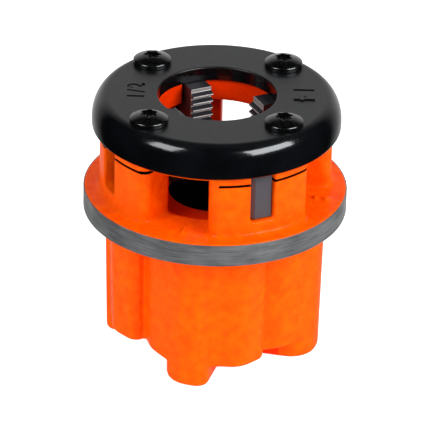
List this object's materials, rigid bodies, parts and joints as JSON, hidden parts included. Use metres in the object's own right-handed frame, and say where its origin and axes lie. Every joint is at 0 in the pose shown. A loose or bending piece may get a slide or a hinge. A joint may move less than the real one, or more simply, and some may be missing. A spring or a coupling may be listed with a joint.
{
  "type": "pipe threading die head",
  "caption": "Drop-in die head for threading pipe: cast orange body with drive lugs and chip windows, thread chasers in radial slots, black cover plate and button screws.",
  "frame": {"origin": "on the head's axis, level with the ends of the drive lugs it stands on", "axes": "+Z along the head's axis from the guide body towards the cover plate; +X to the right and -Y to the front, the side pictured"},
  "size_m": [0.064, 0.064, 0.0691],
  "materials": {
    "body_paint": "glossy orange paint on rough cast iron, ring rim turned bright",
    "cover_black": "satin black",
    "chaser_steel": "dark oxidised tool steel, bright thread flanks",
    "screw_black": "glossy black oxide"
  },
  "bodies": {
    "body": {"die_head_body": "body_paint"},
    "cover": {"cover_plate": "cover_black"},
    "chaser_1": {"die_1": "chaser_steel"},
    "chaser_2": {"die_2": "chaser_steel"},
    "chaser_3": {"die_3": "chaser_steel"},
    "chaser_4": {"die_4": "chaser_steel"},
    "screw_1": {"cover_screw_1": "screw_black"},
    "screw_2": {"cover_screw_2": "screw_black"},
    "screw_3": {"cover_screw_3": "screw_black"},
    "screw_4": {"cover_screw_4": "screw_black"}
  },
  "joints": [
    {"name": "cover_lift", "type": "slide", "parent": "body", "child": "cover", "axis": [0, 0, 1], "range_m": [0, 0.03]},
    {"name": "die_1_slide", "type": "slide", "parent": "body", "child": "chaser_1", "axis": [0.4384, -0.8988, 0], "range_m": [-0.0004, 0.0011]},
    {"name": "die_2_slide", "type": "slide", "parent": "body", "child": "chaser_2", "axis": [0.8988, 0.4384, 0], "range_m": [-0.0004, 0.0011]},
    {"name": "die_3_slide", "type": "slide", "parent": "body", "child": "chaser_3", "axis": [-0.4384, 0.8988, 0], "range_m": [-0.0004, 0.0011]},
    {"name": "die_4_slide", "type": "slide", "parent": "body", "child": "chaser_4", "axis": [-0.8988, -0.4384, 0], "range_m": [-0.0004, 0.0024]},
    {"name": "screw_1_turn", "type": "hinge", "parent": "cover", "child": "screw_1", "pos_m": [0.01598, -0.01598, 0.0667], "axis": [0, 0, 1], "continuous": true},
    {"name": "screw_2_turn", "type": "hinge", "parent": "cover", "child": "screw_2", "pos_m": [0.01598, 0.01598, 0.0667], "axis": [0, 0, 1], "continuous": true},
    {"name": "screw_3_turn", "type": "hinge", "parent": "cover", "child": "screw_3", "pos_m": [-0.01598, 0.01598, 0.0667], "axis": [0, 0, 1], "continuous": true},
    {"name": "screw_4_turn", "type": "hinge", "parent": "cover", "child": "screw_4", "pos_m": [-0.01598, -0.01598, 0.0667], "axis": [0, 0, 1], "continuous": true}
  ]
}
